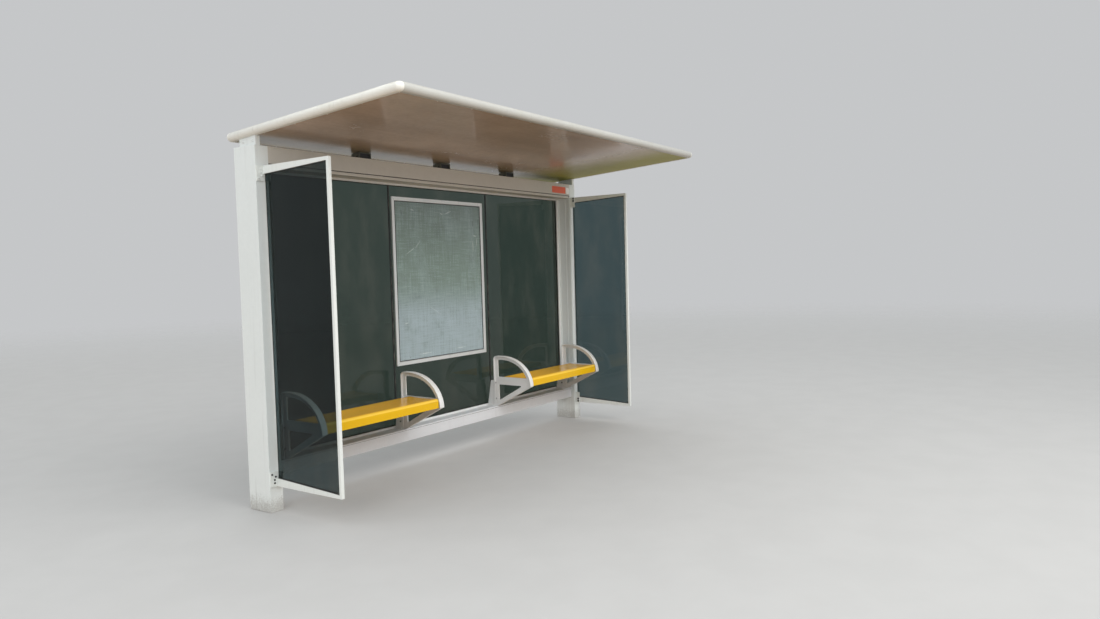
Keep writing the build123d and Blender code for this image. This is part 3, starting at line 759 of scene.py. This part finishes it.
def plate_shape(mesh, centre, half_wide, half_high, corner, thick, across, along):
    """A flat plate with round corners and a broken edge."""
    up = across.cross(along)
    rings = []
    for inset, height in ((0, 0), (0, 0.65 * thick), (0.35 * thick, thick)):
        loop = []
        for quarter, (sx, sy) in enumerate(((1, 1), (-1, 1), (-1, -1), (1, -1))):
            for step in range(6):
                angle = math.pi / 2 * (quarter + step / 5)
                a = sx * (half_wide - corner) + (corner - inset) * math.cos(angle)
                b = sy * (half_high - corner) + (corner - inset) * math.sin(angle)
                loop.append(mesh.verts.new(centre + along * a + up * b + across * height))
        rings.append(loop)
    for first, second in zip(rings, rings[1:]):
        for index in range(len(first)):
            after = (index + 1) % len(first)
            mesh.faces.new((first[index], first[after], second[after], second[index]))
    mesh.faces.new(rings[0][::-1])
    mesh.faces.new(rings[-1])


def along_x(box, inset, y, z):
    """The two ends of a line along a box, a little inside it."""
    return [Vector((x, y, z)) for x in (box[0].x + inset, box[1].x - inset)]


def end_for_end(point):
    """The same point at the other end of the shelter."""
    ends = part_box("left_post")[0].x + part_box("right_post")[1].x
    return Vector((ends - point.x, point.y, point.z))


def turned_over(way):
    """The same direction at the other end of the shelter."""
    return Vector((-way.x, way.y, way.z))


def both_ends(head, mesh, point, outward, width, *turns):
    """The same screw or bolt at both ends of the shelter; a bolt may be turned differently at each."""
    head(mesh, point, outward, width, *turns[:1])
    head(mesh, end_for_end(point), turned_over(outward), width, *turns[1:])


def sweep_both_ends(mesh, path, section, across):
    """The same sweep at both ends of the shelter."""
    sweep(mesh, path, section, across)
    sweep(mesh, [end_for_end(point) for point in reversed(path)], section, turned_over(across))


def rear_screws(mesh, name, count, inset, rise):
    """An even row of screws along the back of a beam."""
    low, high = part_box(name)
    step = (high.x - low.x - 2 * inset) / (count - 1)
    for index in range(count):
        socket_screw(mesh, Vector((low.x + inset + step * index, high.y, low.z + rise)), Y, END_SCREW)


def settings(context):
    """The finishes and the sizes that the user can change."""
    return context.scene.shelter_finishes, context.scene.shelter_details


# Operators


class SHELTER_OT_posts(bpy.types.Operator):
    """Coat the posts and set the ribs into their recesses"""

    bl_idname = "shelter.posts"
    bl_label = "Posts"

    def execute(self, context):
        paint, sizes = settings(context)
        dirt = dict(streaks=0.30, splash=0.45, splash_height=0.22)
        coat = painted("White post coat", paint.post, roughness=0.40, patches=0.22, **dirt)
        dress(coat, 0.0025, "left_post", "right_post")
        recess_depth, pad, gap = 0.003, 0.0125, 0.001
        recess_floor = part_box("left_post")[1].x - recess_depth
        spans = (
            (0.0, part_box("lower_beam")[0].z - pad, (-0.052, -0.012, 0.028, 0.060)),
            (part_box("lower_glazing_rail")[1].z + pad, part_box("header_beam")[0].z - pad, (-0.052,)),
        )
        mesh = bmesh.new()
        for bottom, top, places in spans:
            for y in places:
                ends = [Vector((recess_floor, y, z)) for z in (bottom + gap, top - gap)]
                sweep_both_ends(mesh, ends, centred(sizes.rib, 0.0022), X)
        new_piece("post_ribs", mesh, coat)
        return {"FINISHED"}


class SHELTER_OT_header(bpy.types.Operator):
    """Coat the header and its glazing rail, and fix its bare plates, screws and groove seal, whose black also paints
    the groove's shadow line
    """

    bl_idname = "shelter.header"
    bl_label = "Header"

    def execute(self, context):
        paint, sizes = settings(context)
        # The header's coat holds painted shade; it stands for white paint in the roof's shade.
        coat = painted("White header coat", paint.header, roughness=0.38, patches=0.35, streaks=0.08)
        dress(coat, sizes.edge, "header_beam")
        rail = painted("Glazing rail coat", paint.rail, roughness=0.38, patches=0.25, streaks=0.08, dust=0.15)
        dress(rail, sizes.edge, "header_glazing_rail")
        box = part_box("header_beam")
        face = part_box("left_post")[0].y
        corner, inset = 0.004, 0.006
        clean = dict(dust=0.2, wear=0.2)
        bare = (0.75, 0.60, 0.45)
        orange = painted("Orange plate coat", paint.orange, roughness=0.34, streaks=0.15, under=bare, **clean)
        white = painted("White plate coat", paint.plate, roughness=0.32, patches=0.2, streaks=0.2, **clean)
        rivets = bmesh.new()
        for name, material, left, right, bottom, top in (
            ("orange_plate", orange, 3.177, 3.405, 2.196, 2.258),
            ("white_plate", white, 3.414, 3.468, 2.196, 2.256),
        ):
            mesh = bmesh.new()
            centre = Vector(((left + right) / 2, face, (bottom + top) / 2))
            half_wide, half_high = (right - left) / 2, (top - bottom) / 2
            plate_shape(mesh, centre, half_wide, half_high, corner, sizes.plate, -Y, X)
            new_piece(name, mesh, material)
            for side, rise in CORNERS:
                spot = centre + X * side * (half_wide - inset) + Z * rise * (half_high - inset) - Y * sizes.plate
                dome_rivet(rivets, spot, -Y, PLATE_RIVET)
        new_piece("plate_rivets", rivets, fixing_metal("Steel fixings", paint.steel))
        screws = bmesh.new()
        both_ends(socket_screw, screws, Vector((box[0].x + 0.010, face, box[0].z + 0.0135)), -Y, END_SCREW)
        rear_screws(screws, "header_beam", 7, 0.35, 0.065)
        new_fixings("header_screws", screws)
        # The black seal in the groove also paints the groove's shadow line.
        section = [(-0.0024, 0), (-0.0024, 0.0012), (-0.0012, 0.0018), (0.0012, 0.0018), (0.0024, 0.0012), (0.0024, 0)]
        new_seal("header_groove_seal_and_shadow", swept(along_x(box, 0.001, face + 0.004, box[0].z + 0.023), section, -Y))
        return {"FINISHED"}


class SHELTER_OT_back_wall(bpy.types.Operator):
    """Glaze the back wall and press its seals in"""

    bl_idname = "shelter.back_wall"
    bl_label = "Back wall"

    def execute(self, context):
        paint, sizes = settings(context)
        glass = glazed("Tinted back glass", paint.back_glass)
        dress(glass, 0, "back_glass_left", "back_glass_middle", "back_glass_right")
        dress(rubber("Seal rubber"), 0, "glass_joint_strips")
        rail = bpy.data.materials["Glazing rail coat"]
        dress(rail, sizes.edge, "left_glazing_channel", "right_glazing_channel", "lower_glazing_rail")
        left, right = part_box("left_glazing_channel")[1].x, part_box("right_glazing_channel")[0].x
        bottom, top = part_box("lower_glazing_rail")[1].z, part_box("header_glazing_rail")[0].z
        low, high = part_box("back_glass_middle")
        joints = ((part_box("back_glass_left")[1].x + low.x) / 2, (high.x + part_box("back_glass_right")[0].x) / 2)
        seals, beads = bmesh.new(), bmesh.new()
        lip = half_round(sizes.seal_width, sizes.seal_depth)
        for face, out, order in ((low.y, -Y, 1), (high.y, Y, -1)):
            corners = ((left, bottom), (right, bottom), (right, top), (left, top))[::order]
            sweep(seals, [Vector((x, face, z)) for x, z in corners], lip, out, closed=True)
            for x in joints:
                ends = [Vector((x, face, z)) for z in (bottom + sizes.seal_width, top - sizes.seal_width)]
                sweep(beads, ends, centred(0.012, 0.0012), out)
        new_seal("back_glass_seals", seals)
        new_seal("glass_joint_beads", beads)
        return {"FINISHED"}


class SHELTER_OT_lower_beam(bpy.types.Operator):
    """Coat the lower beam and give it its lip, a painted shadow line under the lip, and rear screws"""

    bl_idname = "shelter.lower_beam"
    bl_label = "Lower beam"

    def execute(self, context):
        paint = context.scene.shelter_finishes
        dirt = dict(streaks=0.08, splash=0.06, splash_height=0.36, dust=0.08)
        coat = painted("Lower beam coat", paint.beam, roughness=0.36, patches=0.25, **dirt)
        dress(coat, 0.003, "lower_beam")
        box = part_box("lower_beam")
        front, height, shadow_line_high = box[0].y, box[1].z - 0.0105, 0.0022
        lip = [(0, 0), (0, 0.0022), (0.001, 0.003), (0.007, 0.003), (0.008, 0.0022), (0.008, 0)]
        new_piece("lower_beam_lip", swept(along_x(box, 0.0005, front, height), lip, -Y), coat)
        # A dark rubber strip just under the lip: a painted shadow line.
        line = [(0, 0), (0, 0.0008), (shadow_line_high, 0.0008), (shadow_line_high, 0)]
        new_seal("lower_beam_shadow_line", swept(along_x(box, 0.0005, front, height - shadow_line_high), line, -Y))
        screws = bmesh.new()
        rear_screws(screws, "lower_beam", 9, 0.25, 0.047)
        new_fixings("lower_beam_screws", screws)
        return {"FINISHED"}


class SHELTER_OT_roof(bpy.types.Operator):
    """Finish the roof, its edge, supports and plugs, and fix it down"""

    bl_idname = "shelter.roof"
    bl_label = "Roof"

    def execute(self, context):
        paint, sizes = settings(context)
        dress(roof_sheet("Gloss roof sheet"), 0, "roof_panel")
        # The front edge is the same cream at 0.63 of its light: painted shade on the side that faces the street. The
        # corners are a little lighter.
        for name, light, roughness, patches, streaks, dust, nodes in (
            ("Cream roof edge", 1, 0.33, 0.35, 0.30, 0.6, ("roof_edge_back", "roof_edge_left", "roof_edge_right")),
            ("Cream roof edge, front", 0.63, 0.36, 0.35, 0.20, 0.6, ("roof_edge_front",)),
            ("Cream roof corners", 1.04, 0.30, 0.25, 0.2, 0.5, ("roof_corners",)),
        ):
            dirt = dict(dust=dust, streaks=streaks, wear=0.2, film=olive_film)
            cream = painted(name, darker(paint.roof_edge, light), roughness, patches, **dirt)
            dress(cream, 0.0008, *nodes, angle=50)
        dress(bpy.data.materials["White post coat"], 0.001, "left_roof_bracket", "right_roof_bracket")
        dirt = dict(patches=0.4, streaks=0.1, dust=0.5)
        dress(painted("Dark support coat", paint.support, roughness=0.45, wear=0.3, **dirt), 0.001, *SUPPORTS)
        plug = painted("Black plug plastic", paint.fixing, roughness=0.55, wear=0.0, bump=0.2, **dirt)
        dress(plug, 0.0008, "roof_support_plugs")
        low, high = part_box("roof_panel")
        self.rivets(low, high, sizes)
        self.bolts()
        self.cover_strips(low, high)
        return {"FINISHED"}

    def cover_strips(self, low, high):
        """Strips over the joints between the roof's sheets, in the step inside the edge."""
        top = max(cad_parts["roof_panel"].data.polygons, key=lambda face: face.normal.z * face.area)
        up, middle = top.normal.normalized(), top.center
        along = Vector((0, up.z, -up.y))
        gap, width, proud, sunk, rivets = 0.004, 0.048, 0.0019, 0.0003, 8
        half = (high.y - low.y) / 2 / along.y - gap
        centre = along * (((high.y + low.y) / 2 - middle.y) / along.y)
        mesh = bmesh.new()
        for share in (0.25, 0.5, 0.75):
            base = Vector((low.x + (high.x - low.x) * share, middle.y, middle.z)) + centre
            sweep(mesh, [base - along * half, base + along * half], centred(width, proud), up)
            for step in range(rivets):
                share_along = (2 * step / (rivets - 1) - 1) * 0.96
                spot = base + along * half * share_along + up * (proud - sunk)
                for side in (-0.014, 0.014):
                    dome_rivet(mesh, spot + X * side, up, PLATE_RIVET)
        new_piece("roof_cover_strips", mesh, bpy.data.materials["Cream roof edge"])

    def rivets(self, low, high, sizes):
        """Rivets up through the flat of each edge profile, seen from below."""
        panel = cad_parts["roof_panel"].data
        down = min(panel.polygons, key=lambda face: face.normal.z).normal.normalized()
        front_y = min(vertex.co.y for vertex in panel.vertices)
        inset, edge_width = 0.012, 0.02
        front_z = min(vertex.co.z for vertex in panel.vertices if vertex.co.y < low.y + edge_width)
        slope = -down.y / down.z
        left, right, front, rear = low.x + inset, high.x - inset, low.y + inset, high.y - inset

        def spread(start, finish, span):
            steps = round(span / sizes.rivet_pitch)
            return [start + (finish - start) * index / steps for index in range(steps + 1)]

        spots = [(x, y) for x in spread(left, right, high.x - low.x) for y in (front, rear)]
        spots += [(x, y) for y in spread(front, rear, rear - front)[1:-1] for x in (left, right)]
        mesh = bmesh.new()
        for x, y in spots:
            dome_rivet(mesh, Vector((x, y, front_z + (y - front_y) * slope)), down, sizes.rivet)
        new_piece("roof_rivets", mesh, bpy.data.materials["Cream roof edge"])

    def bolts(self):
        """Bolts through the posts' roof brackets and the feet of the supports."""
        pale, dark = bmesh.new(), bmesh.new()
        low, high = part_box("left_roof_bracket")
        edge, spacing, foot = 0.026, 0.092, 0.022
        for y in (low.y + edge, low.y + edge + spacing):
            both_ends(hex_bolt, pale, Vector((low.x, y, low.z + edge)), -X, ROOF_BOLT)
        new_painted_bolts("roof_bracket_bolts", pale)
        for name in SUPPORTS:
            low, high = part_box(name)
            for x, out in ((low.x, -X), (high.x, X)):
                for y in (low.y + foot, high.y - foot):
                    hex_bolt(dark, Vector((x, y, low.z + foot)), out, ROOF_BOLT)
        new_fixings("roof_bolts", dark)


class SHELTER_OT_side_panels(bpy.types.Operator):
    """Glaze the side panels, press their seals in and screw their brackets on"""

    bl_idname = "shelter.side_panels"
    bl_label = "Side panels"

    def execute(self, context):
        paint, sizes = settings(context)
        dirt = dict(streaks=0.22, splash=0.35, splash_height=0.26)
        coat = painted("White panel frame coat", paint.panel, roughness=0.36, patches=0.18, **dirt)
        glass = glazed("Tinted panel glass", paint.panel_glass, film=0.12)
        for side in ("left_panel_", "right_panel_"):
            dress(coat, sizes.edge, side + "top_rail", side + "bottom_rail", side + "stile")
            dress(coat, 0, side + "brackets")
            dress(glass, 0, side + "glass")
        self.seals(sizes)
        self.fixings(sizes)
        return {"FINISHED"}

    def seals(self, sizes):
        """Seals along the rails and the stile on both faces of the glass, and a strip on its rear edge."""
        low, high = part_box("left_panel_glass")
        top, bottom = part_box("left_panel_top_rail"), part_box("left_panel_bottom_rail")
        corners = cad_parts["left_panel_top_rail"].data.vertices
        street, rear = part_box("left_panel_stile")[1].y, high.y
        slim_edge = min(vertex.co.z for vertex in corners if vertex.co.y < street + 0.001)
        deep_edge = min(vertex.co.z for vertex in corners if vertex.co.y > top[1].y - 0.001)
        slim = top[1].z - slim_edge
        deep = slim + (slim_edge - deep_edge) / (top[1].y - street) * (rear - street)
        floor, roof = bottom[0].z, top[1].z
        outline = ((rear, floor + deep), (street, floor + slim), (street, roof - slim), (rear, roof - deep))
        mesh = bmesh.new()
        lip = half_round(sizes.seal_width, sizes.seal_depth)
        for face, out, order in ((low.x, -X, 1), (high.x, X, -1)):
            sweep_both_ends(mesh, [Vector((face, y, z)) for y, z in outline[::order]], lip, out)
        new_seal("panel_glass_seals", mesh)
        strip = bmesh.new()
        heights = (outline[0][1] - 0.006, outline[3][1] + 0.006)
        ends = [Vector(((low.x + high.x) / 2, rear, z)) for z in heights]
        sweep_both_ends(strip, ends, centred(high.x - low.x, 0.002), Y)
        new_seal("panel_glass_edge_strips", strip)

    def fixings(self, sizes):
        """Screws in the bracket plates and bolts in their lugs."""
        low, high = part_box("left_panel_brackets")
        plate_thick, lug_thick, lug_reach = 0.008, 0.006, 0.024
        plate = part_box("left_post")[0].y - plate_thick
        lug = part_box("left_panel_top_rail")[1].x + lug_thick
        dark, pale, bolts = bmesh.new(), bmesh.new(), bmesh.new()
        for end, upright, screws in ((low.z, 1, dark), (high.z, -1, pale)):
            for x, rise in ((-0.033, 0.080), (-0.007, 0.063), (-0.015, 0.044), (-0.015, 0.024)):
                both_ends(socket_screw, screws, Vector((x, plate, end + upright * rise)), -Y, sizes.screw)
            for rise in (0.011, 0.033):
                spot = Vector((lug, plate - lug_reach, end + upright * rise))
                both_ends(hex_bolt, bolts, spot, X, sizes.bolt, 0.3 + rise * 20, 0.9 - rise * 20)
        new_fixings("bracket_screws", dark)
        new_painted_bolts("upper_bracket_screws", pale)
        new_fixings("lug_bolts", bolts)


class SHELTER_OT_poster(bpy.types.Operator):
    """Finish the poster case, its bare backing, cover, seal and mitres"""

    bl_idname = "shelter.poster"
    bl_label = "Poster case"

    def execute(self, context):
        dress(anodised_metal("Anodised aluminium"), 0.001, "poster_frame")
        dress(poster_sheet("Bare poster backing", *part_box("poster_back")), 0, "poster_back")
        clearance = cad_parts["poster_back"].modifiers.new("Clearance to the glass", "DISPLACE")
        clearance.mid_level = 0.0
        clearance.strength = -0.0007
        dress(clear_cover("Clear cover sheet"), 0, "poster_cover")
        outer, (low, high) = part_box("poster_frame"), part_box("poster_cover")
        outline = ((low.x, low.z), (high.x, low.z), (high.x, high.z), (low.x, high.z))
        path = [Vector((x, low.y, z)) for x, z in outline]
        section = half_round(0.0045, min(0.0025, low.y - outer[0].y))
        new_seal("poster_seal", swept(path, section, -Y, closed=True))
        seams = bmesh.new()
        inset, half, proud = 0.0045, 0.0004, 0.00025
        reach = max(low.x - outer[0].x - inset, 0.01)
        for side, rise in CORNERS:
            x, z = outer[side > 0].x, outer[rise > 0].z
            ends = [Vector((x - side * far, outer[0].y, z - rise * far)) for far in (inset, reach)]
            sweep(seams, ends, [(-half, 0), (-half, proud), (half, proud), (half, 0)], -Y)
        new_seal("poster_mitres", seams)
        return {"FINISHED"}


class SHELTER_OT_benches(bpy.types.Operator):
    """Coat the benches and bolt them together"""

    bl_idname = "shelter.benches"
    bl_label = "Benches"

    def execute(self, context):
        paint, sizes = settings(context)
        casting = painted(
            "Grey bench casting", paint.casting, roughness=0.40, peel=260.0, dust=0.45, wear=0.6,
            under=(0.34, 0.34, 0.34), bump=0.14,
        )
        dress(seat_coat("Yellow seat coat"), 0.0015, "left_bench_seat", "right_bench_seat")
        bolts, rivets = bmesh.new(), bmesh.new()
        flange, web, cheek = 0.026, 0.005, 0.0295
        clip_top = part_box("lower_beam")[1].z + 0.008
        bolt_places = ((-0.0475, 0.504), (-0.0475, 0.366), (-0.024, 0.416))
        screw_y, screw_z = -0.072, 0.521
        for side, end in (("left", "outer"), ("left", "inner"), ("right", "outer"), ("right", "inner")):
            arm, pedestal = (f"{side}_bench_{kind}_{end}" for kind in ("arm", "pedestal"))
            dress(casting, 0.0012, arm)
            dress(casting, 0.0015, pedestal)
            low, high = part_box(arm)
            middle = (low.x + high.x) / 2
            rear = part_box(pedestal)[1].y
            for way in (-1, 1):
                for y, z in bolt_places:
                    hex_bolt(bolts, Vector((middle + way * flange, y, z)), X * way, sizes.bench_bolt, z * 5)
                socket_screw(bolts, Vector((middle + way * web, screw_y, screw_z)), X * way, WEB_SCREW)
                for y in (rear - 0.020, rear - 0.052):
                    dome_rivet(rivets, Vector((middle + way * cheek, y, clip_top)), Z, FOOT_RIVET)
        dull = fixing_metal("Dull bench bolts", darker(paint.steel, 0.45), 0.5, 0.7)
        new_piece("bench_bolts", bolts, dull)
        new_piece("pedestal_rivets", rivets, fixing_metal("Steel fixings", paint.steel))
        return {"FINISHED"}


class SHELTER_OT_stage(bpy.types.Operator):
    """Set the pale floor, the soft light and the camera"""

    bl_idname = "shelter.stage"
    bl_label = "Stage"

    def execute(self, context):
        scene = context.scene
        stage = scene.shelter_stage
        scene.view_settings.view_transform = "Standard"
        self.floor(scene, stage)
        self.world(scene, stage)
        self.lamp(scene, "Key light", (0.9, -6.2, 5.8), (1.9, -0.3, 0.8), 5.0, stage.key, (1.0, 0.985, 0.96))
        self.lamp(scene, "Side light", (-6.8, -3.0, 3.8), (1.0, -0.2, 0.9), 4.5, stage.side, (0.96, 0.98, 1.0))
        self.camera(scene, stage)
        return {"FINISHED"}

    def floor(self, scene, stage):
        """A wide pale floor in rings, just under the shelter."""
        mesh = bmesh.new()
        middle = Vector(FLOOR_MIDDLE) - Z * 0.0005
        count = 64
        loops = [[mesh.verts.new(middle)] * count]
        turns = [2 * math.pi * index / count for index in range(count)]
        for radius in (3.0, 7.0, 14.0, 30.0, 70.0):
            loops.append([mesh.verts.new(middle + radius * Vector((math.cos(t), math.sin(t), 0))) for t in turns])
        for index in range(count):
            after = (index + 1) % count
            mesh.faces.new((loops[0][0], loops[1][index], loops[1][after]))
            for inner, outer in zip(loops[1:], loops[2:]):
                mesh.faces.new((inner[index], outer[index], outer[after], inner[after]))
        data = bpy.data.meshes.new("floor")
        mesh.to_mesh(data)
        mesh.free()
        data.materials.append(pale_floor("Pale floor", stage))
        floor = bpy.data.objects.new("floor", data)
        scene.collection.objects.link(floor)

    def world(self, scene, stage):
        """Even light from all round; the camera, gloss and glass see the pale backdrop."""
        scene.world = bpy.data.worlds.new("Soft studio")
        scene.world.use_nodes = True
        scene.world.node_tree.nodes.clear()
        nodes = Nodes(scene.world.node_tree)
        way = nodes.value("ShaderNodeTexCoord", out="Generated")
        strength = way.part("Z").ramp(-0.05, 0.50, 0.50, 1.30) * stage.sky
        strength = strength + way.part("Y").ramp(-0.1, -0.8, 0.0, stage.street)
        light = nodes.value("ShaderNodeBackground", {"Color": (0.96, 0.985, 1.0), "Strength": strength})
        pale = nodes.value("ShaderNodeBackground", {"Color": stage.backdrop, "Strength": 1.0})
        mix = nodes.value("ShaderNodeMixShader", {0: nodes.seen(), 1: light, 2: pale})
        nodes.add("ShaderNodeOutputWorld", {0: mix})

    def lamp(self, scene, name, spot, target, size, power, colour):
        """One large soft lamp aimed at the shelter."""
        data = bpy.data.lights.new(name, "AREA")
        data.shape = "DISK"
        data.size = size
        data.energy = power
        data.color = colour
        lamp = bpy.data.objects.new(name, data)
        way = Vector(target) - Vector(spot)
        lamp.matrix_world = Matrix.Translation(spot) @ way.to_track_quat("-Z", "Y").to_matrix().to_4x4()
        lamp.visible_glossy = False
        scene.collection.objects.link(lamp)

    def camera(self, scene, stage):
        """The photograph's own viewing angle."""
        data = bpy.data.cameras.new("Street view")
        data.sensor_width = 36
        data.sensor_fit = "HORIZONTAL"
        data.lens = stage.lens
        camera = bpy.data.objects.new("Street view", data)
        yaw, pitch, roll = (math.radians(turn) for turn in (55.443, -2.967, 1.563))
        forward = Vector((math.sin(yaw) * math.cos(pitch), math.cos(yaw) * math.cos(pitch), math.sin(pitch)))
        level = Vector((math.cos(yaw), -math.sin(yaw), 0))
        down = forward.cross(level)
        right = level * math.cos(roll) + down * math.sin(roll)
        up = level * math.sin(roll) - down * math.cos(roll)
        turn = Matrix((right, up, -forward)).transposed().to_4x4()
        camera.matrix_world = Matrix.Translation((-3.1100, -4.3746, 1.4852)) @ turn
        scene.collection.objects.link(camera)
        scene.camera = camera


MAKERS = (
    SHELTER_OT_posts,
    SHELTER_OT_header,
    SHELTER_OT_back_wall,
    SHELTER_OT_lower_beam,
    SHELTER_OT_roof,
    SHELTER_OT_side_panels,
    SHELTER_OT_poster,
    SHELTER_OT_benches,
    SHELTER_OT_stage,
)


class SHELTER_PT_panel(bpy.types.Panel):
    """The shelter's settings and makers"""

    bl_idname = "SHELTER_PT_panel"
    bl_label = "Bus shelter"
    bl_space_type = "VIEW_3D"
    bl_region_type = "UI"
    bl_category = "Shelter"

    def draw(self, context):
        layout = self.layout
        for title, group in (
            ("Finishes", context.scene.shelter_finishes),
            ("Details", context.scene.shelter_details),
            ("Stage", context.scene.shelter_stage),
        ):
            box = layout.box()
            box.label(text=title)
            for name in type(group).__annotations__:
                box.prop(group, name)
        for maker in MAKERS:
            layout.operator(maker.bl_idname)


CLASSES = (ShelterFinishes, ShelterDetails, ShelterStage, *MAKERS, SHELTER_PT_panel)


def register():
    for kind in CLASSES:
        bpy.utils.register_class(kind)
    bpy.types.Scene.shelter_finishes = bpy.props.PointerProperty(type=ShelterFinishes)
    bpy.types.Scene.shelter_details = bpy.props.PointerProperty(type=ShelterDetails)
    bpy.types.Scene.shelter_stage = bpy.props.PointerProperty(type=ShelterStage)


def unregister():
    del bpy.types.Scene.shelter_finishes
    del bpy.types.Scene.shelter_details
    del bpy.types.Scene.shelter_stage
    for kind in reversed(CLASSES):
        bpy.utils.unregister_class(kind)


def main():
    """Make the shelter, piece by piece."""
    register()
    for maker in MAKERS:
        group, name = maker.bl_idname.split(".")
        getattr(getattr(bpy.ops, group), name)()


if __name__ == "__main__":
    main()
